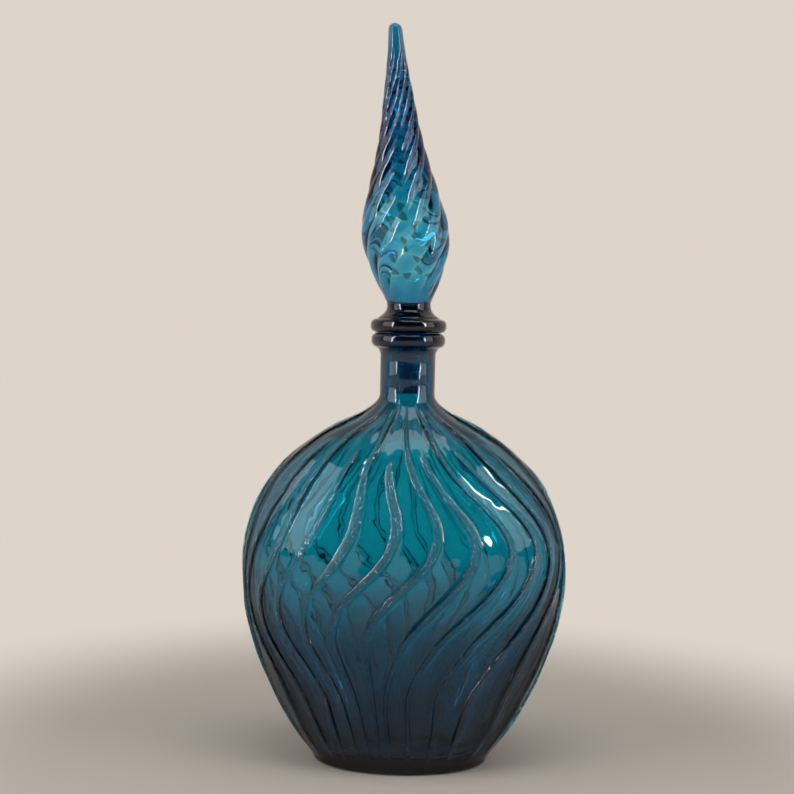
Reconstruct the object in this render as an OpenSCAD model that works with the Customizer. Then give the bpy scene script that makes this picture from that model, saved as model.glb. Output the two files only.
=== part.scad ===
// Genie decanter of blown teal glass: a flattened, wave-ribbed body with a lipped
// neck, and a lift-out stopper with a hollow twisted flame. Origin: centre of the
// foot on the table. +Z is up, and the broad ribbed front faces -Y.

/* [Bottle body] */
// Height of the blown body, from the table to the foot of the neck
body_h = 229.5; // [200:0.5:280]
// Width of the body where it is widest
body_w = 200; // [150:1:250]
// Height above the table of the widest place
body_widest_z = 122; // [95:1:140]
// Width of the foot that the bottle stands on, before its heel is rounded
foot_w = 104; // [80:1:130]
// How much of a round body's swell is left in the depth, where 1 is a round bottle
flatness = 0.52; // [0.4:0.02:1]
// Radius of the rounded heel round the foot
heel_r = 4; // [2:0.5:8]
// Wall of the blown body
body_wall = 3.5; // [2:0.1:6]
// Thickness of the floor of the body
floor_t = 8; // [5:0.5:14]
// Height of the hollow under the foot
punt_h = 3.5; // [1:0.5:8]
// Width of the flat rim that the foot stands on
foot_rim_w = 7; // [4:0.5:12]

/* [Wave ribs] */
// Number of ribs around the body, an even number
rib_count = 28; // [16:2:40]
// Height of a rib above the glass
rib_h = 1.5; // [0.5:0.1:2.5]
// Turn of the ribs to the right in the upper half, in degrees
wave_right = 15; // [0:1:25]
// Turn of the ribs to the left by the time they reach the foot, in degrees
wave_left = 27; // [0:1:40]

/* [Neck and lip] */
// Outside diameter of the neck
neck_d = 34.2; // [28:0.2:44]
// Diameter of the neck's bore
bore_d = 20; // [14:0.2:26]
// Height of the mouth above the foot of the neck
neck_h = 38.5; // [25:0.5:60]
// Outside diameter of the lip ring
lip_d = 46; // [38:0.5:60]
// Height of the lip ring
lip_h = 9.2; // [6:0.2:14]

/* [Stopper] */
// Gap between the ground plug and the bore, all round
plug_gap = 0.4; // [0.1:0.05:1]
// Length of the ground plug below the collar
plug_l = 37.5; // [20:0.5:55]
// Outside diameter of the stopper's collar
collar_d = 47.2; // [38:0.2:60]
// Height of the stopper's collar
collar_h = 8.6; // [6:0.2:14]
// Diameter of the waist above the collar
waist_d = 27.2; // [18:0.2:36]
// Height of the waist above the collar
waist_h = 10; // [8:0.5:20]
// Diameter of the flame's bulb
bulb_d = 55; // [40:0.5:80]
// Height of the bulb's widest place above the waist
bulb_h = 44; // [30:1:70]
// Height of the flame's taper, from the bulb's widest place to the tip
taper_h = 127; // [80:1:180]
// Diameter of the rounded tip
tip_d = 8.6; // [5:0.2:14]
// Lean of the flame to the left, in degrees
flame_lean = 4; // [0:0.5:6]
// Wall of the hollow flame
flame_wall = 3.2; // [2:0.1:5]
// Length of solid glass at the tip
tip_solid_h = 27; // [15:1:50]

/* [Twisted lobes] */
// Number of lobes around the flame
lobe_count = 10; // [6:1:16]
// Depth of the groove between two lobes on the bulb
groove = 1.7; // [0.5:0.1:3]
// Turn of the lobes per millimetre of height on the bulb, in degrees
twist = 1.6; // [0:0.1:3]
// Extra turn gained on the taper by the tip, in degrees
taper_twist = 70; // [0:5:200]

/* [Hidden] */
$fn = 96;

body_teal = [0.04, 0.42, 0.52];
lip_teal = [0.02, 0.20, 0.30];
flame_teal = [0.05, 0.48, 0.60];
plug_teal = [0.02, 0.30, 0.45];

neck_r = neck_d / 2;
bore_r = bore_d / 2;
mouth_z = body_h + neck_h;
collar_top_z = mouth_z + collar_h;
flame_h = waist_h + bulb_h + taper_h;

// Body outline: a quarter ellipse for the dome, a power curve below it and a flare
// into the neck that leaves the dome at hand_over degrees
dome_h = body_h - body_widest_z - 9;
hand_over = 65;
lower_power = 1.95;
punt_rings = 2;
heel_rings = 3;
lower_rings = 10;
dome_rings = 9;
flare_rings = 4;

// Ease from 0 to 1 as u runs from 0 to 1
function ease(u) = let (k = min(max(u, 0), 1)) k * k * (3 - 2 * k);

// Half width of the lower body at a height
function lower_half_w(z) =
    foot_w / 2 + (body_w - foot_w) / 2 * (1 - pow(1 - z / body_widest_z, lower_power));

// Half depth that belongs to a half width of the outside
function half_depth(w) = neck_r + (w - neck_r) * flatness;

// [half width, height] on a dome of the given half width and height
function dome_point(w, h, a) = [w * cos(a), body_widest_z + h * sin(a)];

// [half width, height] on the flare from a dome to a tube of radius r, s from 0 to 1
function flare_point(w, h, r, s) =
    let (start = dome_point(w, h, hand_over),
         rise = (start[0] - r) * h * cos(hand_over) / (w * sin(hand_over)),
         knee = [r, start[1] + rise],
         end = [r, body_h])
    start * pow(1 - s, 2) + knee * 2 * s * (1 - s) + end * s * s;

// Outside of the body wall from the heel to the neck, as [half width, half depth, height]
heel_w = lower_half_w(heel_r);
outer_wall = concat(
    [for (k = [0 : lower_rings - 1])
        let (z = heel_r + (body_widest_z - heel_r) * k / lower_rings, w = lower_half_w(z))
        [w, half_depth(w), z]],
    [for (k = [0 : dome_rings - 1])
        let (p = dome_point(body_w / 2, dome_h, hand_over * k / dome_rings))
        [p[0], half_depth(p[0]), p[1]]],
    [for (k = [0 : flare_rings])
        let (p = flare_point(body_w / 2, dome_h, neck_r, k / flare_rings))
        [p[0], half_depth(p[0]), p[1]]]);

// Heel and underside of the foot, from the middle outwards
rim_outer_w = heel_w - heel_r;
rim_inner_w = rim_outer_w - foot_rim_w;
foot_inset = half_depth(heel_w) - heel_w;
underside = concat(
    [for (k = [1 : punt_rings])
        let (u = k / punt_rings, w = rim_inner_w * u)
        [w, w * (rim_inner_w + foot_inset) / rim_inner_w, punt_h * (1 - u * u)]],
    [for (k = [0 : heel_rings - 1])
        let (a = 90 * k / heel_rings, w = rim_outer_w + heel_r * sin(a))
        [w, w + foot_inset, heel_r * (1 - cos(a))]]);

// Inside of the body from the neck down to the middle of the floor
corner_r = 8;
inner_top = [for (k = [flare_rings : -2 : 0])
    let (s = k / flare_rings,
         out = flare_point(body_w / 2, dome_h, neck_r, s),
         p = flare_point(body_w / 2 - body_wall, dome_h - body_wall, bore_r, s))
    [p[0], half_depth(out[0]) - out[0] + p[0], p[1]]];
inner_dome = [for (k = [dome_rings - 3 : -2 : 0])
    let (a = hand_over * k / dome_rings,
         out = dome_point(body_w / 2, dome_h, a),
         p = dome_point(body_w / 2 - body_wall, dome_h - body_wall, a))
    [p[0], half_depth(out[0]) - out[0] + p[0], p[1]]];
inner_low = [for (k = [lower_rings - 3 : -3 : 1])
    let (z = floor_t + corner_r + (body_widest_z - floor_t - corner_r) * k / lower_rings,
         w = lower_half_w(z))
    [w - body_wall, half_depth(w) - body_wall, z]];
corner_out_w = lower_half_w(floor_t + corner_r);
corner_w = corner_out_w - body_wall;
corner_inset = half_depth(corner_out_w) - corner_out_w;
inner_floor = concat(
    [for (k = [0 : 2])
        let (a = 45 * k, w = corner_w - corner_r * (1 - cos(a)))
        [w, w + corner_inset, floor_t + corner_r * (1 - sin(a))]],
    [let (w = (corner_w - corner_r) / 2)
        [w, w * (corner_w - corner_r + corner_inset) / (corner_w - corner_r),
         floor_t + punt_h * 0.75]]);

// How far a rib has swung round the body at a height, in degrees: first to the
// right, then back to the left on its way down
function swing(z) =
    wave_right * exp(-pow((z / body_h - 0.636) / 0.157, 2))
    - wave_left * ease((0.654 - z / body_h) / 0.457);

// Ribs crowd together at the front and back of the neck and spread lower down
function spread(z) = -12 + 9 * ease((0.92 - z / body_h) / 0.35);

// Place of a rib around the body, where 0 is the front and 90 the right-hand edge
function around(a, z) = a + swing(z) + spread(z) * sin(2 * a);

// Points across one rib's share of the wall: its crest, its two feet and the panel
rib_places = [0, 0.17, 0.5, 0.83];
rib_heights = [1, 0, -0.25, 0];
rib_columns = [for (k = [0 : rib_count - 1]) for (place = rib_places) (k + place) * 360 / rib_count];

// Every second rib starts lower down, and all of them fade out at the neck and heel
function rib_strength(k, z) =
    let (start = floor(k / 4) % 2 == 0 ? body_h - 4 : body_h - 26)
    ease((start - z) / 22) * ease((z - heel_r) / 14);

// One point of a body ring of half width w and half depth d, raised by h
function body_point(w, d, z, a, h) =
    let (n = norm([d * sin(a), w * cos(a)]))
    [w * sin(a) + h * d * sin(a) / n, -d * cos(a) - h * w * cos(a) / n, z];

// Rings of points from the middle of the underside to the middle of the inner floor
function smooth_ring(p) = [for (a = rib_columns) body_point(p[0], p[1], p[2], around(a, p[2]), 0)];
function ribbed_ring(p) = [for (k = [0 : len(rib_columns) - 1])
    body_point(p[0], p[1], p[2], around(rib_columns[k], p[2]),
               rib_h * rib_heights[k % 4] * rib_strength(k, p[2]))];

// A closed skin over rings of equal length, closed by one point at each end
module closed_skin(start, rings, end) {
    n = len(rings[0]);
    last = len(rings) * n + 1;
    points = concat([start], [for (ring = rings) for (p = ring) p], [end]);
    faces = concat(
        [for (j = [0 : n - 1]) [0, 1 + j, 1 + (j + 1) % n]],
        [for (i = [0 : len(rings) - 2]) for (j = [0 : n - 1])
            let (a = 1 + i * n + j, b = 1 + i * n + (j + 1) % n) each [[a, a + n, b + n], [a, b + n, b]]],
        [for (j = [0 : n - 1]) [last, last - n + (j + 1) % n, last - n + j]]);
    polyhedron(points, faces, convexity = 6);
}

// The body is one skin: underside, ribbed outside, top edge, smooth inside and floor
module bottle_body() {
    color(body_teal)
        closed_skin(
            [0, 0, punt_h],
            concat([for (p = underside) smooth_ring(p)],
                   [for (p = outer_wall) ribbed_ring(p)],
                   [for (p = concat(inner_top, inner_dome, inner_low, inner_floor)) smooth_ring(p)]),
            [0, 0, floor_t + punt_h]);
}

// Straight tube drawn up from the body, with the bore that the plug slides in
module bottle_neck() {
    color(body_teal)
        translate([0, 0, body_h])
            difference() {
                cylinder(h = neck_h, d = neck_d);
                translate([0, 0, -1]) cylinder(h = neck_h + 2, d = bore_d);
            }
}

// Outline of a rounded ring: flat land on one side, round rim, and a taper to the tube
lip_round = lip_h / 2;
lip_taper_h = 4.5;
module lip_ring() {
    color(lip_teal)
        translate([0, 0, mouth_z - lip_h])
            rotate_extrude()
                polygon(concat(
                    [[neck_r, lip_h]],
                    [for (a = [90 : -15 : -75])
                        [lip_d / 2 - lip_round * (1 - cos(a)), lip_round * (1 + sin(a))]],
                    [[neck_r + 0.6, -lip_taper_h / 2], [neck_r, -lip_taper_h]]));
}

// Ground plug, rounded at its lower end
plug_r = bore_r - plug_gap;
plug_round = 2;
module stopper_plug() {
    color(plug_teal)
        translate([0, 0, mouth_z - plug_l])
            rotate_extrude()
                polygon(concat(
                    [[0, plug_l], [0, 0]],
                    [for (a = [0 : 15 : 90])
                        [plug_r - plug_round * (1 - sin(a)), plug_round * (1 - cos(a))]],
                    [[plug_r, plug_l]]));
}

// Rounded collar that rests on the mouth
collar_round = collar_h / 2;
module stopper_collar() {
    color(lip_teal)
        translate([0, 0, mouth_z])
            rotate_extrude()
                polygon(concat(
                    [[0, collar_h], [0, 0]],
                    [for (a = [-90 : 15 : 90])
                        [collar_d / 2 - collar_round * (1 - cos(a)), collar_round * (1 + sin(a))]]));
}

// Flame outline. The swell from waist to bulb is a quarter sine. The taper is a
// spline through shares of its height and of the step from bulb to tip.
foot_flare_h = 7.5;
foot_flare_w = 6.6;
taper_shares = [[0, 1], [0.15, 0.83], [0.27, 0.66], [0.39, 0.49], [0.53, 0.335], [0.65, 0.24],
                [0.77, 0.14], [0.88, 0.06], [1, 0]];

// Smooth curve through a table of [x, y] pairs
function slope(t, k) =
    k == 0 ? 0
    : k == len(t) - 1 ? (t[k][1] - t[k - 1][1]) / (t[k][0] - t[k - 1][0])
    : (t[k + 1][1] - t[k - 1][1]) / (t[k + 1][0] - t[k - 1][0]);
function curve_span(t, x) = max([for (k = [0 : len(t) - 2]) if (x >= t[k][0] || k == 0) k]);
function curve(t, x) =
    let (k = curve_span(t, x), d = t[k + 1][0] - t[k][0], u = (x - t[k][0]) / d)
    t[k][1] * (1 - 3 * u * u + 2 * u * u * u) + t[k + 1][1] * (3 * u * u - 2 * u * u * u)
    + slope(t, k) * d * (u - 2 * u * u + u * u * u) + slope(t, k + 1) * d * (u * u * u - u * u);

// Radius of the flame's lobes at a height above the collar
tip_z = flame_h - tip_d / 2;
function flame_r(z) =
    z < foot_flare_h ? waist_d / 2 + foot_flare_w * pow(1 - z / foot_flare_h, 2)
    : z < waist_h ? waist_d / 2
    : z < waist_h + bulb_h ? waist_d / 2 + (bulb_d - waist_d) / 2 * sin(90 * (z - waist_h) / bulb_h)
    : z < tip_z ? tip_d / 2 + (bulb_d - tip_d) / 2 * curve(taper_shares, (z - waist_h - bulb_h) / (taper_h - tip_d / 2))
    : sqrt(max(pow(tip_d / 2, 2) - pow(z - tip_z, 2), 0));

// Turn of the lobes at a height, and how deep their grooves are there
function turn(z) = twist * z + taper_twist * pow(max(z - waist_h - bulb_h / 2, 0) / taper_h, 4);
function groove_at(z) =
    groove * (0.35 + 0.65 * flame_r(z) * 2 / bulb_d) * ease((z - waist_h) / 16) * ease((flame_h - 12 - z) / 24);

// Sideways shift of the flame's middle at a height
function lean_x(z) = -tan(flame_lean) * max(z - foot_flare_h, 0);

// A ring of the flame, with lobe_points points to a lobe
lobe_points = 6;
function flame_ring(z) = [for (k = [0 : lobe_count * lobe_points - 1])
    let (a = k * 360 / (lobe_count * lobe_points) + turn(z),
         r = flame_r(z) - groove_at(z) * (1 - sin(180 * (k % lobe_points) / lobe_points)))
    [r * sin(a) + lean_x(z), -r * cos(a), z]];

// A ring of the flame's hollow
hollow_points = 24;
hollow_z = 4;
hollow_top_z = flame_h - tip_solid_h;
waist_wall = 4.6;
function hollow_r(z) =
    let (wall = waist_wall + (flame_wall - waist_wall) * ease((z - waist_h) / 20),
         low = min(max((z - hollow_z) / 7, 0), 1),
         top = min(max((hollow_top_z - z) / 14, 0), 1))
    (flame_r(max(z, foot_flare_h)) - wall) * sqrt(1 - pow(1 - low, 2)) * sqrt(1 - pow(1 - top, 2));
function hollow_ring(z) = [for (k = [0 : hollow_points - 1])
    let (a = k * 360 / hollow_points)
    [hollow_r(z) * sin(a) + lean_x(z), -hollow_r(z) * cos(a), z]];

// Heights of the rings: close together at the foot flare and at the rounded tip
flame_levels = concat(
    [for (k = [0 : 4]) foot_flare_h * k / 4],
    [for (k = [1 : 38]) foot_flare_h + (tip_z - foot_flare_h) * k / 38],
    [for (a = [22.5 : 22.5 : 67.5]) tip_z + tip_d / 2 * sin(a)]);
hollow_levels = concat(
    [for (u = [0.4, 1.5, 3.5]) hollow_z + u],
    [for (k = [0 : 16]) hollow_z + 7 + (hollow_top_z - 21 - hollow_z) * k / 16],
    [for (u = [7, 3, 1]) hollow_top_z - u]);

module stopper_flame() {
    color(flame_teal)
        translate([0, 0, collar_top_z])
            difference() {
                closed_skin([0, 0, 0], [for (z = flame_levels) flame_ring(z)], [lean_x(flame_h), 0, flame_h]);
                closed_skin([lean_x(hollow_z), 0, hollow_z], [for (z = hollow_levels) hollow_ring(z)],
                            [lean_x(hollow_top_z), 0, hollow_top_z]);
            }
}

bottle_body();
bottle_neck();
lip_ring();
stopper_plug();
stopper_collar();
stopper_flame();
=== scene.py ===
import math

import bpy
import numpy as np
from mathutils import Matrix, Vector


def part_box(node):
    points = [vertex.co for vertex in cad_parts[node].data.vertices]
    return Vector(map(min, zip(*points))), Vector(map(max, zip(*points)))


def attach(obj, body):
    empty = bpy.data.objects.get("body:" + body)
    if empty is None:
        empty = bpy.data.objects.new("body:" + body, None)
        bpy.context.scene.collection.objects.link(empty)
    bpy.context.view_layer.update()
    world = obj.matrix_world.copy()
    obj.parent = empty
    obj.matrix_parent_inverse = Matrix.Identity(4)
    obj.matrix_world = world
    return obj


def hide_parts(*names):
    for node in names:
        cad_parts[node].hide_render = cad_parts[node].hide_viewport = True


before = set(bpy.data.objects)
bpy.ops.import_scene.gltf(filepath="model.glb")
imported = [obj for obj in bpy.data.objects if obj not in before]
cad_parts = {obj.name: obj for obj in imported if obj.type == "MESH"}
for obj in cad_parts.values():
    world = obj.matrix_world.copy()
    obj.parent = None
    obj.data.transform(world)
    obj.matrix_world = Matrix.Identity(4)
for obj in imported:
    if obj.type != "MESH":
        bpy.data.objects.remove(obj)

scene = bpy.context.scene
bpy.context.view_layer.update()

# Camera: it looks level with the neck at the broad ribbed face, tipped a little down and
# rolled a little, as a hand-held one is. Its place and lens follow from the photograph's
# perspective, where the bottle's foot, neck and flame tip were measured.
frame_px = 794
focal_px = 1430
sensor_mm = 36
camera_distance = 0.8879
camera_height = 0.2757
tip_down_deg = 3.08
roll_deg = -1.17
turn_left_deg = 0.47

camera = bpy.data.objects.new("camera", bpy.data.cameras.new("camera"))
camera.data.sensor_width = sensor_mm
camera.data.lens = sensor_mm * focal_px / frame_px
camera.location = (0, -camera_distance, camera_height)
camera.rotation_euler = [math.radians(a) for a in (90 - tip_down_deg, roll_deg, turn_left_deg)]
scene.collection.objects.link(camera)
scene.camera = camera
scene.view_settings.view_transform = "Standard"

# Backdrop: plain warm wall colour in every direction. Seen through the glass it has soft upright
# gaps between pale panels and is dim overhead, which draws the dark lines at the ribs. Mirrored
# in the glass it is dim behind the camera, so that the front stays clear of haze.
wall_colour = (0.73, 0.66, 0.59, 1)
fill_colour = (0.32, 0.31, 0.30, 1)
panel_count = 8
gap_from, gap_to = 0.35, 0.70
gap_level = 0.34
dim_level = 0.05
high_from, high_to = 0.55, 0.80
front_from, front_to = -0.35, 0.45


def node(tree, kind, inputs=(), **settings):
    """Adds a shader node with these settings. inputs pairs a socket's name or number with a
    value, or with the output of another node, which is then linked to it."""
    made = tree.nodes.new("ShaderNode" + kind)
    for name, value in settings.items():
        setattr(made, name, value)
    for socket, value in inputs:
        if isinstance(value, bpy.types.NodeSocket):
            tree.links.new(value, made.inputs[socket])
        else:
            made.inputs[socket].default_value = value
    return made


def maths(tree, operation, a, b=0.0):
    """The result of one Math node."""
    return node(tree, "Math", ((0, a), (1, b)), operation=operation).outputs[0]


def graded(tree, value, start, end, low=0.0, high=1.0):
    """value eased from low at start to high at end."""
    source = (("Value", value), ("From Min", start), ("From Max", end))
    target = (("To Min", low), ("To Max", high))
    return node(tree, "MapRange", source + target, interpolation_type="SMOOTHSTEP").outputs["Result"]


def mixed(tree, factor, a, b):
    """Colour a where factor is 0 and b where it is 1."""
    return node(tree, "MixRGB", (("Fac", factor), ("Color1", a), ("Color2", b))).outputs["Color"]


world = bpy.data.worlds.new("studio")
scene.world = world
world.use_nodes = True
tree = world.node_tree
tree.nodes.clear()
ray = node(tree, "LightPath").outputs
towards = node(tree, "SeparateXYZ", ((0, node(tree, "TexCoord").outputs["Generated"]),)).outputs
azimuth = maths(tree, "ARCTAN2", towards[0], towards[1])
panel_angle = maths(tree, "MULTIPLY", azimuth, panel_count)
between = maths(tree, "COSINE", maths(tree, "ADD", panel_angle, math.pi))
seen_through = graded(tree, between, gap_from, gap_to, 1.0, gap_level)
below_top = graded(tree, towards[2], high_from, high_to, 1.0, dim_level)
seen_through = maths(tree, "MULTIPLY", seen_through, below_top)
mirrored = graded(tree, towards[1], front_from, front_to, dim_level, 1.0)
through = mixed(tree, seen_through, (0, 0, 0, 1), wall_colour)
mirror = mixed(tree, mirrored, (0, 0, 0, 1), wall_colour)
light = mixed(tree, ray["Is Glossy Ray"], fill_colour, mirror)
light = mixed(tree, ray["Is Transmission Ray"], light, through)
light = mixed(tree, ray["Is Camera Ray"], light, wall_colour)
background = node(tree, "Background", (("Color", light),))
tree.links.new(background.outputs[0], node(tree, "OutputWorld").inputs["Surface"])

# Floor: one plain pale sheet that the bottle stands on. Away from the bottle it passes
# softly into the colour of the backdrop, as a studio sweep does.
floor_colour = (0.60, 0.54, 0.48, 1)
floor_half = 4.0
sweep_from, sweep_to = 0.21, 0.46

floor_mesh = bpy.data.meshes.new("floor")
corners = [(x * floor_half, y * floor_half, 0) for x, y in ((-1, -1), (1, -1), (1, 1), (-1, 1))]
floor_mesh.from_pydata(corners, [], [(0, 1, 2, 3)])
floor = bpy.data.objects.new("floor", floor_mesh)
scene.collection.objects.link(floor)

floor_paint = bpy.data.materials.new("floor_paint")
floor_paint.use_nodes = True
tree = floor_paint.node_tree
tree.nodes.clear()
ray = node(tree, "LightPath").outputs
place = node(tree, "TexCoord").outputs["Object"]
away = node(tree, "VectorMath", ((0, place),), operation="LENGTH").outputs["Value"]
looked_at = maths(tree, "MAXIMUM", ray["Is Camera Ray"], ray["Is Glossy Ray"])
looked_at = maths(tree, "MAXIMUM", looked_at, ray["Is Transmission Ray"])
sweep = maths(tree, "MULTIPLY", looked_at, graded(tree, away, sweep_from, sweep_to))
matt = node(tree, "BsdfDiffuse", (("Color", floor_colour),)).outputs[0]
plain = node(tree, "Emission", (("Color", wall_colour),)).outputs[0]
blend = node(tree, "MixShader", ((0, sweep), (1, matt), (2, plain)))
tree.links.new(blend.outputs[0], node(tree, "OutputMaterial").inputs["Surface"])
floor_mesh.materials.append(floor_paint)

# Lamps: two tall soft panels, left and right of the camera, give the lobes and ribs their
# broad sheen. A bright strip stands in each, for the white streaks, and one panel hangs above.
aim = Vector((0, 0, 0.20))


def soft_panel(name, azimuth_deg, distance, height, width, length, radiance, lights_floor=True):
    """An area lamp at an azimuth from the front, turned to the bottle. Its power is radiance
    times pi times its area. The strips show only in the glass and leave the floor alone."""
    lamp = bpy.data.objects.new(name, bpy.data.lights.new(name, "AREA"))
    lamp.data.shape = "RECTANGLE"
    lamp.data.size = width
    lamp.data.size_y = length
    lamp.data.energy = radiance * math.pi * width * length
    angle = math.radians(azimuth_deg)
    lamp.location = (distance * math.sin(angle), -distance * math.cos(angle), height)
    facing = aim - lamp.location
    lamp.rotation_euler = facing.to_track_quat("-Z", "Y").to_euler()
    lamp.visible_camera = False
    lamp.visible_diffuse = lights_floor
    scene.collection.objects.link(lamp)


soft_panel("left_panel", -66, 1.1, 0.65, 0.75, 1.0, 2.2)
soft_panel("left_strip", -50, 1.0, 0.60, 0.05, 0.9, 34.0, False)
soft_panel("right_panel", 68, 1.1, 0.65, 0.75, 1.0, 1.8)
soft_panel("right_strip", 52, 1.0, 0.60, 0.05, 0.9, 34.0, False)
soft_panel("top_panel", 10, 0.35, 1.25, 0.8, 0.5, 2.5)

# Bottle: one piece of mould-blown teal glass, flattened front to back, with wave ribs, a straight
# drawn neck and a tooled lip ring. Its wall grows from 5.4 mm on the shoulder to 12.5 mm at the
# foot, and its bore is ground to take the plug.
body_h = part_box("bottle_neck")[0].z
neck_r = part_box("bottle_neck")[1].x
mouth_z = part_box("bottle_neck")[1].z
lip_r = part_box("lip_ring")[1].x
lip_taper_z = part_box("lip_ring")[0].z
plug_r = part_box("stopper_plug")[1].x
plug_gap = 0.0004
bore_r = plug_r + plug_gap
body_half_w = 0.100
foot_half_w = 0.052
widest_z = 0.122
flatness = 0.52
lower_power = 1.95
dome_h = body_h - widest_z - 0.009
hand_over = math.radians(65)
heel_r = 0.004
foot_rim_w = 0.007
punt_h = 0.0035
floor_t = 0.008
corner_r = 0.008
wall_thin, wall_neck, wall_foot = 0.0054, 0.0071, 0.0125
lip_taper_h = 0.0045
lip_h = mouth_z - lip_taper_z - lip_taper_h
seat_gap = 0.00005
roundness = 2.4

rib_count = 28
rib_h = 0.0016
panel_dip = 0.00050
rib_right, rib_left = 11.0, 12.5
right_z, right_span = 0.148, 0.030
rib_wander, wander_z = 1.3, 0.021
wall_rows, lining_rows = 134, 72
grain_h, wave_h = 0.00005, 0.0006
wave_kinds = ((3, 0.016, 0.30), (5, 0.010, 0.22), (8, 0.0075, 0.16), (13, 0.0055, 0.10))
crest_dip = 0.35
smooth_left = 0.12
patch_deg, patch_wide = -40, 15
patch_z, patch_tall = 0.132, 0.034


def ease(u):
    """0 below 0, 1 above 1, and 3u squared less 2u cubed between."""
    k = np.clip(u, 0, 1)
    return k * k * (3 - 2 * k)


def lower_half_w(z):
    """Half width below the widest place: the foot's, plus a power curve of the swell."""
    return foot_half_w + (body_half_w - foot_half_w) * (1 - (1 - z / widest_z) ** lower_power)


def half_depth(w):
    """Half depth for a half width: the neck's radius plus the flattened rest."""
    return neck_r + (w - neck_r) * flatness


def evenly(points, count):
    """count points at equal steps along a line of points."""
    steps = np.hypot(*np.diff(points, axis=0).T)
    along = np.concatenate([[0], np.cumsum(steps)])
    at = np.linspace(0, along[-1], count)
    return np.stack([np.interp(at, along, points[:, k]) for k in range(points.shape[1])], 1)


def body_outline(count):
    """Half width and height from the heel to the neck: a power curve to the widest place, an
    ellipse up to hand_over, and a quadratic curve that leaves it smoothly and meets the neck."""
    z = np.linspace(heel_r, widest_z, 200)
    lower = np.stack([lower_half_w(z), z], 1)
    a = np.linspace(0, hand_over, 200)[1:]
    dome = np.stack([body_half_w * np.cos(a), widest_z + dome_h * np.sin(a)], 1)
    start, end = dome[-1], np.array([neck_r, body_h])
    rise = (start[0] - neck_r) * dome_h / (body_half_w * math.tan(hand_over))
    knee = np.array([neck_r, start[1] + rise])
    s = np.linspace(0, 1, 100)[1:, None]
    flare = start * (1 - s) ** 2 + knee * 2 * s * (1 - s) + end * s * s
    return evenly(np.concatenate([lower, dome, flare]), count)


# Across each rib's share of the wall: nine columns on the bead and seven on the panel
bead_steps = np.array([-1, -0.72, -0.46, -0.22, 0, 0.22, 0.46, 0.72, 1])
panel_steps = np.arange(1, 8) / 8
columns_per_rib = len(bead_steps) + len(panel_steps)
column_rib = np.repeat(np.arange(rib_count), columns_per_rib)
on_bead = np.tile(np.arange(columns_per_rib) < len(bead_steps), rib_count)
column_step = np.tile(np.concatenate([bead_steps, panel_steps]), rib_count)
share_deg = 360 / rib_count
chance = np.random.default_rng(28)
rib_phase = chance.uniform(0, 2 * math.pi, (3, rib_count))
rib_weight = chance.uniform(0.8, 1.15, rib_count)
rib_start = np.where(np.arange(rib_count) % 2 == 0, body_h - 0.002, body_h - 0.025)
rib_start = rib_start + chance.uniform(-0.006, 0.0, rib_count) * (np.arange(rib_count) % 2 * 2 + 0.3)


def swing(z):
    """Degrees that a rib has turned: a bell to the right over the shoulder, then an ease to the left."""
    right = rib_right * np.exp(-(((z - right_z) / right_span) ** 2))
    return right - rib_left * ease((0.135 - z) / 0.055)


def spread(z):
    """Degrees by which ribs crowd to the middle of the front and back, or leave it where positive."""
    return 7 - 21 * ease((z - 0.130) / 0.085) - 21 * ease((0.118 - z) / 0.075)


def around(u, z):
    """Angle round the body, 0 at the front and 90 at the right, of the place u at height z."""
    u_rad = np.radians(u)
    turn = swing(z) * (0.35 + 0.65 * np.cos(u_rad) ** 2)
    return u + turn + spread(z) * np.sin(2 * u_rad)


def rib_strength(z):
    """How far each rib stands out at each height: it fades in under its own start, swells and sinks
    a little on its way, and fades out over the heel. Rows are heights and columns are ribs."""
    z = z[:, None]
    here = ease((rib_start - z) / 0.018) * ease((z - 0.005) / 0.022)
    sway = 1 + 0.16 * np.sin(z / 0.013 + rib_phase[0]) + 0.10 * np.sin(z / 0.0047 + rib_phase[1])
    return here * sway * rib_weight


def bead_half(z):
    """Half the width of a bead, as a share of the space from rib to rib."""
    return 0.115 + 0.06 * ease((z - 0.185) / 0.04)


def smooth_patch(angle, z):
    """1 over most of the wall, sinking to smooth_left in a tall patch at the left of each face, where
    the ribs were hardly filled in the mould."""
    off = (np.mod(angle - patch_deg + 90, 180) - 90) / patch_wide
    return 1 - (1 - smooth_left) * np.exp(-(off**2) - ((z - patch_z) / patch_tall) ** 2)


def ring_points(w, d, z, angle):
    """Points of a flattened ring: half width w times the sine, half depth d times minus the cosine."""
    a = np.radians(angle)
    return np.stack(np.broadcast_arrays(w * np.sin(a), -d * np.cos(a), z), -1)


def outward(points):
    """Unit normals of a grid of points, rows upwards and columns round: the cross product of the
    differences along a row and along a column."""
    across = np.roll(points, -1, 1) - np.roll(points, 1, 1)
    up = np.gradient(points, axis=0)
    n = np.cross(across, up)
    return n / np.linalg.norm(n, axis=-1, keepdims=True)


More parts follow.
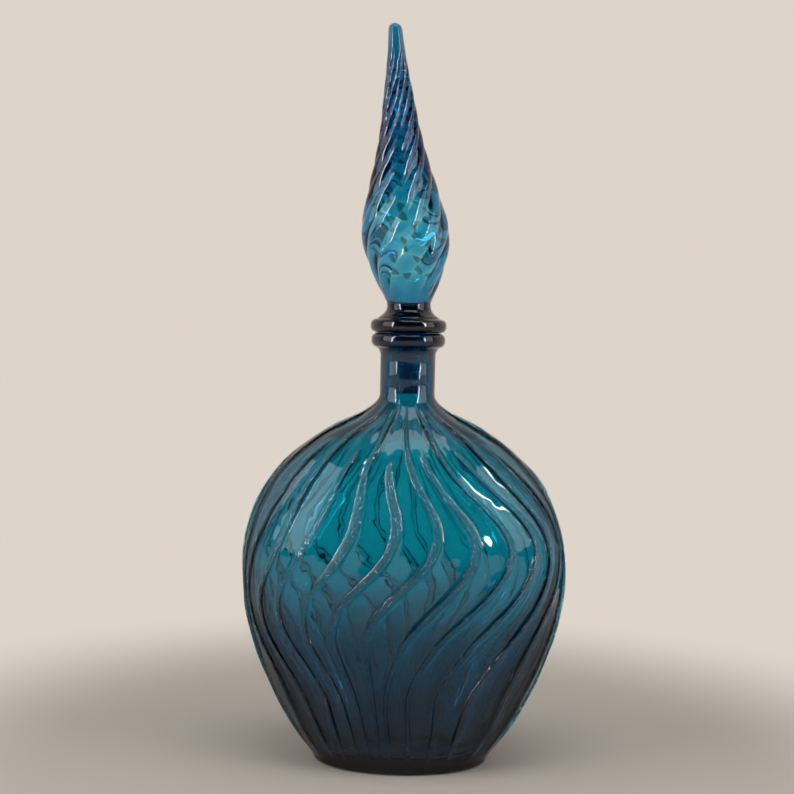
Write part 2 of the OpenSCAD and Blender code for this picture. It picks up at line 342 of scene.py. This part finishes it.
def ribbed_wall():
    """Outside of the wall: the smooth flattened body, moved along its normal by the beads and the
    panels between them, with fine grain on the beads. Also gives how pebbly each point is, and
    its angle."""
    outline = body_outline(wall_rows)
    w, z = outline[:, :1], outline[:, 1:]
    half = bead_half(z)
    step = np.where(on_bead, column_step * half, half + column_step * (1 - 2 * half))
    phase = rib_phase[2][column_rib]
    wander = rib_wander * np.sin(z / wander_z + phase) * ease((body_h - z) / 0.06)
    next_phase = rib_phase[2][(column_rib + 1) % rib_count]
    next_wander = rib_wander * np.sin(z / wander_z + next_phase) * ease((body_h - z) / 0.06)
    part = np.where(on_bead, 0, column_step)
    u = (column_rib + step) * share_deg
    angle = around(u, z) + wander * (1 - part) + next_wander * part
    smooth = ring_points(w, half_depth(w), z, angle)
    strength = rib_strength(outline[:, 1])
    calm = smooth_patch(angle, z)
    mine = strength[:, column_rib] * calm
    after = strength[:, (column_rib + 1) % rib_count] * calm
    bead = rib_h * mine * (1 - column_step ** 4) * (1 - crest_dip * (1 - column_step ** 2) ** 2)
    panel = -panel_dip * np.sin(math.pi * column_step) * (mine * (1 - column_step) + after * column_step)
    grain = chance.normal(0, grain_h, smooth.shape[:2])
    pebbly = np.where(on_bead, mine * (1 - column_step ** 6), 0)
    height = np.where(on_bead, bead, panel) + grain * pebbly
    return smooth + outward(smooth) * height[..., None], pebbly, angle


def rounded(centre, half_w, half_h, angles_deg):
    """Points of a rounded bar: a superellipse about centre, at these angles from its outer side."""
    a = np.radians(angles_deg)
    x = np.sign(np.cos(a)) * np.abs(np.cos(a)) ** (2 / roundness)
    y = np.sign(np.sin(a)) * np.abs(np.sin(a)) ** (2 / roundness)
    return np.stack([centre[0] + half_w * x, centre[1] + half_h * y], 1)


def round_rings(profile, angle):
    """Rings of a turned shape: each [radius, height] of the profile at every angle."""
    return [ring_points(r, r, z, angle) for r, z in profile]


def skin(rings, first, last):
    """Points and triangles of a closed skin over rings, each of the count of the one before, or
    half or twice it, with one point to close each end. Rings run as seen from above, anticlockwise."""
    points = np.concatenate([[first], *rings, [last]])
    starts = np.cumsum([1] + [len(ring) for ring in rings])
    faces = []
    for a, b, low, high in zip(starts, starts[1:], rings, rings[1:]):
        n = min(len(low), len(high))
        j = np.arange(n)
        k = (j + 1) % n
        if len(low) == len(high):
            faces += [np.stack([a + j, a + k, b + k], 1), np.stack([a + j, b + k, b + j], 1)]
        elif len(low) > len(high):
            faces += [np.stack([a + 2 * j, a + 2 * j + 1, b + j], 1),
                      np.stack([a + 2 * j + 1, b + k, b + j], 1),
                      np.stack([a + 2 * j + 1, a + 2 * k, b + k], 1)]
        else:
            faces += [np.stack([a + j, b + 2 * j + 1, b + 2 * j], 1),
                      np.stack([a + j, a + k, b + 2 * j + 1], 1),
                      np.stack([a + k, b + 2 * k, b + 2 * j + 1], 1)]
    j = np.arange(len(rings[0]))
    faces.append(np.stack([0 * j, 1 + np.roll(j, -1), 1 + j], 1))
    j = np.arange(len(rings[-1]))
    end = starts[-1]
    faces.append(np.stack([end - len(j) + j, end - len(j) + np.roll(j, -1), 0 * j + end], 1))
    return points, np.concatenate(faces)


def seed_shells(centres, radii):
    """Small bubbles as closed shells that face into their own hollow: six columns and three rings
    each, stretched upwards."""
    columns = np.arange(6) * 60
    tilts = np.radians([135, 90, 45])
    rings = [ring_points(math.sin(t), math.sin(t), math.cos(t), columns) for t in tilts]
    unit, unit_faces = skin(rings, (0, 0, -1), (0, 0, 1))
    shells = centres[:, None] + unit * (1, 1, seed_stretch) * radii[:, None, None]
    faces = unit_faces[:, ::-1] + len(unit) * np.arange(len(radii))[:, None, None]
    return shells.reshape(-1, 3), faces.reshape(-1, 3)


def new_piece(name, points, faces, **values):
    """A smooth mesh object of these points and triangles, with one number per point for each value."""
    mesh = bpy.data.meshes.new(name)
    mesh.from_pydata(points.tolist(), [], faces.tolist())
    mesh.shade_smooth()
    for key, numbers in values.items():
        layer = mesh.attributes.new(key, "FLOAT", "POINT")
        layer.data.foreach_set("value", np.asarray(numbers, np.float32))
    piece = bpy.data.objects.new(name, mesh)
    scene.collection.objects.link(piece)
    return piece


def body_lining(neck_angle):
    """Inside of the body from the neck to the floor, as rings: the outline moved in along its own
    normal by the wall, which is thick at the neck and the foot, with slow waves from the blowing."""
    outline = body_outline(260)
    along = np.gradient(outline, axis=0)
    normal = np.stack([along[:, 1], -along[:, 0]], 1) / np.hypot(*along.T)[:, None]
    z = outline[:, 1]
    wall = wall_thin + (wall_neck - wall_thin) * ease((z - 0.200) / (body_h - 0.200))
    wall = wall + (wall_foot - wall_thin) * ease((0.150 - z) / 0.14)
    inside = outline - normal * wall[:, None]
    both = np.column_stack([inside, half_depth(outline[:, 0]) - outline[:, 0] + inside[:, 0]])
    both = both[inside[:, 1] > floor_t + corner_r][::-1]
    both[0] = bore_r, body_h, bore_r
    both = evenly(both, lining_rows)
    a = np.radians(np.linspace(0, 90, 7)[1:])
    w0, _, d0 = both[-1]
    turn_in = corner_r * (1 - np.cos(a))
    corner = np.column_stack([w0 - turn_in, floor_t + corner_r * (1 - np.sin(a)), d0 - turn_in])
    k = np.linspace(1, 0, 8)[1:-1, None]
    flat = corner[-1] * k
    flat[:, 1] = floor_t + punt_h * (1 - k[:, 0] ** 2)
    rows = np.concatenate([both, corner, flat])
    even = np.arange(len(neck_angle)) * 360 / len(neck_angle)
    relax = ease((body_h - rows[:, 1:2]) / 0.04)
    angle = neck_angle * (1 - relax) + even * relax
    points = ring_points(rows[:, :1], rows[:, 2:], rows[:, 1:2], angle)
    waves = np.zeros(points.shape[:2])
    for turns, height, size in wave_kinds:
        shift = chance.uniform(0, 2 * math.pi, 2)
        waves += size * np.sin(turns * np.radians(angle) + rows[:, 1:2] / height + shift[0])
        waves += size * np.sin(turns * np.radians(angle) - rows[:, 1:2] / height + shift[1])
    calm = ease((body_h - 0.01 - rows[:, 1:2]) / 0.03) * ease((rows[:, 1:2] - 0.012) / 0.02)
    normal = outward(points)
    return list(points + normal * (wave_h * waves * calm)[..., None])


wall_grid, wall_pebbly, wall_angle = ribbed_wall()
heel_angle, neck_angle = wall_angle[0], wall_angle[-1]
heel_w = lower_half_w(heel_r)
rim_w = heel_w - heel_r
foot_inset = half_depth(heel_w) - heel_w
hollow_w = rim_w - foot_rim_w
underside = []
for u in (0.25, 0.5, 0.75, 1.0):
    w = hollow_w * u
    d = w * (hollow_w + foot_inset) / hollow_w
    underside.append(ring_points(w, d, punt_h * (1 - u * u), heel_angle[::2]))
underside.append(ring_points(rim_w, rim_w + foot_inset, 0, heel_angle[::2]))
heel = []
for a in (22.5, 45, 67.5):
    w = rim_w + heel_r * math.sin(math.radians(a))
    heel.append(ring_points(w, w + foot_inset, heel_r * (1 - math.cos(math.radians(a))), heel_angle))
lip_centre = (lip_r - lip_h / 2, mouth_z - lip_h / 2 - seat_gap)
lip_bar = rounded(lip_centre, lip_h / 2, lip_h / 2, np.linspace(-78, 90, 15))
neck_profile = np.concatenate([
    [[neck_r, body_h + (lip_taper_z - body_h) * u] for u in (0.2, 0.4, 0.6, 0.8, 1.0)],
    [[neck_r + 0.0006, lip_taper_z + lip_taper_h / 2]],
    lip_bar,
    [[bore_r + 0.0035, lip_bar[-1, 1]], [bore_r + 0.0012, lip_bar[-1, 1]]],
    [[bore_r + 0.00035, lip_bar[-1, 1] - 0.00035], [bore_r, lip_bar[-1, 1] - 0.0012]],
])
bore_top = mouth_z - 0.003
bore_profile = [[bore_r, bore_top - (bore_top - body_h) * u] for u in np.linspace(0, 0.96, 14)]
outer_rings = underside + heel + list(wall_grid) + round_rings(neck_profile, neck_angle)
bore_rings = round_rings(bore_profile, neck_angle[::2])
lining = body_lining(neck_angle[::2])
bottle_points, bottle_faces = skin(
    outer_rings + bore_rings + lining, (0, 0, punt_h), (0, 0, floor_t + punt_h)
)

# Seeds: bubbles caught in the outer half of the wall, most of them low in the body
seed_count = 150
seed_stretch = 1.35
seed_depth = 0.0019
seed_z = 0.012 + 0.19 * chance.beta(1.1, 2.6, seed_count)
seed_a = chance.uniform(0, 360, seed_count)
seed_r = 0.0002 + 0.0005 * chance.beta(1.2, 3.5, seed_count)
seed_w = np.interp(seed_z, body_outline(300)[:, 1], body_outline(300)[:, 0])
seed_centres = ring_points(seed_w - seed_depth, half_depth(seed_w) - seed_depth, seed_z, seed_a)
seed_points, seed_faces = seed_shells(seed_centres, seed_r)

pebbly = np.zeros(len(bottle_points) + len(seed_points))
first_wall = 1 + sum(len(ring) for ring in underside + heel)
pebbly[first_wall:first_wall + wall_pebbly.size] = wall_pebbly.ravel()
in_bore = np.hypot(bottle_points[:, 0], bottle_points[:, 1]) < bore_r + 0.0001
in_bore &= bottle_points[:, 2] > body_h + 0.004
ground = np.concatenate([in_bore * 1.0, np.zeros(len(seed_points))])
bottle = new_piece(
    "glass_bottle",
    np.concatenate([bottle_points, seed_points]),
    np.concatenate([bottle_faces, seed_faces + len(bottle_points)]),
    pebbly=pebbly,
    ground=ground,
)

pebble_scale, ripple_scale, ground_scale, ground_h = 620, 45, 1500, 0.0003
most_absorbed = 0.9


def teal_glass(name, absorbed_per_mm, ripple_h, pebble_h):
    """Soda glass that takes up light by depth: red most, then green, then blue, each given per
    millimetre. Its surface has slow ripples, pebbles where pebbly is 1 and a ground finish where
    ground is 1, all as bump."""
    glass = bpy.data.materials.new(name)
    glass.use_nodes = True
    tree = glass.node_tree
    tree.nodes.clear()
    place = node(tree, "TexCoord").outputs["Object"]

    def relief(scale, detail, height, mask=None):
        """Noise of this many waves per metre, as a height in metres, kept to a mask."""
        noise = node(tree, "TexNoise", (("Vector", place), ("Scale", scale), ("Detail", detail)))
        raised = maths(tree, "MULTIPLY", noise.outputs["Fac"], height)
        if mask is None:
            return raised
        where = node(tree, "Attribute", attribute_name=mask).outputs["Fac"]
        return maths(tree, "MULTIPLY", raised, where)

    height = relief(ripple_scale, 2, ripple_h)
    height = maths(tree, "ADD", height, relief(pebble_scale, 2, pebble_h, "pebbly"))
    height = maths(tree, "ADD", height, relief(ground_scale, 2, ground_h, "ground"))
    bump = node(tree, "Bump", (("Height", height), ("Distance", 1.0), ("Strength", 1.0)))
    surface = node(tree, "BsdfPrincipled", (
        ("Base Color", (1, 1, 1, 1)),
        ("Roughness", 0.015),
        ("IOR", 1.5),
        ("Transmission Weight", 1.0),
        ("Normal", bump.outputs["Normal"]),
    ))
    density = absorbed_per_mm[0] * 1000 / most_absorbed
    passed = [1 - a * 1000 / density for a in absorbed_per_mm]
    depth = node(tree, "VolumeAbsorption", (("Color", (*passed, 1)), ("Density", density)))
    out = node(tree, "OutputMaterial")
    tree.links.new(surface.outputs[0], out.inputs["Surface"])
    tree.links.new(depth.outputs[0], out.inputs["Volume"])
    return glass


bottle.data.materials.append(teal_glass("body_glass", (0.62, 0.128, 0.090), 0.0012, 0.0014))
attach(bottle, "bottle")
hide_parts("bottle_body", "bottle_neck", "lip_ring")

# Stopper: a ground plug, a thick collar and a blown flame with ten twisted lobes, all one piece
# of glass that is hollow from just above the collar to near the tip. The flame leans to the left.
collar_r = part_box("stopper_collar")[1].x
collar_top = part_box("stopper_collar")[1].z
plug_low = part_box("stopper_plug")[0].z
flame_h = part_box("stopper_flame")[1].z - collar_top
waist_r, waist_h = 0.0136, 0.010
bulb_r, bulb_h = 0.0275, 0.044
tip_r = 0.0043
taper_h = flame_h - waist_h - bulb_h
flare_w, flare_h = 0.0066, 0.0075
plug_round = 0.002
lean = math.tan(math.radians(4))
lobe_count = 10
points_per_lobe = 18
groove = 0.0019
hollow_columns = 96
hollow_wall, waist_extra, taper_extra = 0.0032, 0.0014, 0.0034
tip_solid_h = 0.027
bulb_twist, taper_twist = 1600, 1050
twist_from, twist_span = 0.050, 0.065
taper_shares = np.array([
    [0, 1], [0.15, 0.83], [0.27, 0.66], [0.39, 0.49], [0.53, 0.335], [0.65, 0.24],
    [0.77, 0.14], [0.88, 0.06], [1, 0],
])


def curve(table, x):
    """Cubic Hermite curve through rows of [x, y], level at its start."""
    tx, ty = table.T
    inner = (ty[2:] - ty[:-2]) / (tx[2:] - tx[:-2])
    slope = np.concatenate([[0], inner, [(ty[-1] - ty[-2]) / (tx[-1] - tx[-2])]])
    k = np.clip(np.searchsorted(tx, x, "right") - 1, 0, len(tx) - 2)
    d = tx[k + 1] - tx[k]
    u = (x - tx[k]) / d
    ends = ty[k] * (1 - 3 * u**2 + 2 * u**3) + ty[k + 1] * (3 * u**2 - 2 * u**3)
    return ends + slope[k] * d * (u - 2 * u**2 + u**3) + slope[k + 1] * d * (u**3 - u**2)


def flame_r(z):
    """Radius over the lobes at heights above the collar: a flare at the foot, the waist, a quarter
    sine up to the bulb, the tabled taper and a round tip."""
    z = np.asarray(z, float)
    foot = waist_r + flare_w * np.clip(1 - z / flare_h, 0, 1) ** 2
    swell = waist_r + (bulb_r - waist_r) * np.sin(math.pi / 2 * np.clip((z - waist_h) / bulb_h, 0, 1))
    share = np.clip((z - waist_h - bulb_h) / (taper_h - tip_r), 0, 1)
    taper = tip_r + (bulb_r - tip_r) * curve(taper_shares, share)
    tip = np.sqrt(np.maximum(tip_r**2 - (z - flame_h + tip_r) ** 2, 0))
    shapes = [z < waist_h, z < waist_h + bulb_h, z < flame_h - tip_r]
    return np.select(shapes, [foot, swell, taper], tip)


def turn(z):
    """Turn of the lobes in degrees: steady on the bulb and faster along the taper."""
    u = np.clip((z - twist_from) / twist_span, 0, 1)
    gained = u**3 - u**4 / 2 + np.maximum((z - twist_from) / twist_span - 1, 0)
    return bulb_twist * z + taper_twist * twist_span * gained


def lean_x(z):
    """Shift of the flame's middle to the left, in step with the height above the foot flare."""
    return -lean * np.maximum(z - flare_h, 0)


def flame_rings():
    """Rings of the lobed flame. Across a lobe the radius follows a sine, with a sharp groove at each
    end, and points lie closest together beside the grooves."""
    z = np.concatenate([np.linspace(0, flare_h, 12)[1:], np.linspace(flare_h, flame_h - tip_r, 232)[1:]])
    z = np.concatenate([z, flame_h - tip_r + tip_r * np.sin(np.radians([12, 24, 36, 48, 60, 70, 80]))])
    r = flame_r(z)
    deep = groove * (0.35 + 0.65 * r / bulb_r) * ease((z - waist_h) / 0.016)
    deep = deep * ease((flame_h - 0.012 - z) / 0.024)
    step = 0.5 - 0.5 * np.cos(math.pi * np.arange(points_per_lobe) / points_per_lobe)
    u = (np.arange(lobe_count)[:, None] + step).ravel() * 360 / lobe_count
    swell = np.tile(1 - np.sin(math.pi * step), lobe_count)
    angle = u + turn(z)[:, None]
    radius = r[:, None] - deep[:, None] * swell
    points = ring_points(radius, radius, z[:, None] + collar_top, angle)
    points[..., 0] += lean_x(z)[:, None]
    return list(points), u


def hollow_shell():
    """The sealed hollow, facing into itself: round rings inside the flame, with a wall that is thin
    on the bulb and thick at the waist and along the taper, and a round top and bottom."""
    low, high = 0.004, flame_h - tip_solid_h
    u = np.linspace(0, 1, 130)[1:-1]
    z = low + (high - low) * u
    wall = hollow_wall + waist_extra * ease((0.030 - z) / 0.020)
    wall = wall + taper_extra * ease((z - 0.060) / 0.045)
    near_low = np.clip((z - low) / 0.007, 0, 1)
    near_high = np.clip((high - z) / 0.020, 0, 1)
    r = (flame_r(np.maximum(z, flare_h)) - wall) * np.sqrt(1 - (1 - near_low) ** 2)
    r = np.maximum(r * np.sqrt(1 - (1 - near_high) ** 2), 0.0002)
    angle = np.arange(hollow_columns) * 360 / hollow_columns
    ripple = 1 + 0.012 * np.sin(np.radians(angle) * 5 + z[:, None] / 0.006)
    points = ring_points(r[:, None] * ripple, r[:, None] * ripple, z[:, None] + collar_top, angle)
    points[..., 0] += lean_x(z)[:, None]
    ends = [(lean_x(h), 0, h + collar_top) for h in (low, high)]
    shell, faces = skin(list(points), *ends)
    return shell, faces[:, ::-1]


flame, lobe_angle = flame_rings()
seat_z = mouth_z + seat_gap
plug_end = [[plug_r - plug_round * (1 - math.sin(a)), plug_low + plug_round * (1 - math.cos(a))]
            for a in np.radians([0, 15, 30, 45, 60, 75, 90])]
plug_side = [[plug_r, z] for z in np.linspace(plug_low + plug_round, seat_z - plug_gap, 40)[1:]]
collar_h = collar_top - mouth_z
collar_centre = (collar_r - collar_h / 2, mouth_z + collar_h / 2)
collar_bar = rounded(collar_centre, collar_h / 2, collar_h / 2 - seat_gap, np.linspace(-90, 90, 23))
collar_profile = np.concatenate([[[plug_r + plug_gap, seat_z]], collar_bar])
plug_rings = round_rings([[0.003, plug_low], [0.006, plug_low], *plug_end, *plug_side], lobe_angle)
collar_rings = round_rings(collar_profile, lobe_angle)
stopper_points, stopper_faces = skin(
    plug_rings + collar_rings + flame, (0, 0, plug_low), (lean_x(flame_h), 0, flame_h + collar_top)
)
hollow_points, hollow_faces = hollow_shell()
stopper_all = np.concatenate([stopper_points, hollow_points])
on_plug = (stopper_all[:, 2] < seat_z - 0.0005) & (stopper_all[:, 2] > plug_low + 0.0015)
stopper = new_piece(
    "glass_stopper",
    stopper_all,
    np.concatenate([stopper_faces, hollow_faces + len(stopper_points)]),
    pebbly=np.zeros(len(stopper_all)),
    ground=on_plug * 1.0,
)
stopper.data.materials.append(teal_glass("flame_glass", (0.62, 0.172, 0.096), 0.0003, 0.0))
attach(stopper, "stopper")
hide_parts("stopper_plug", "stopper_collar", "stopper_flame")
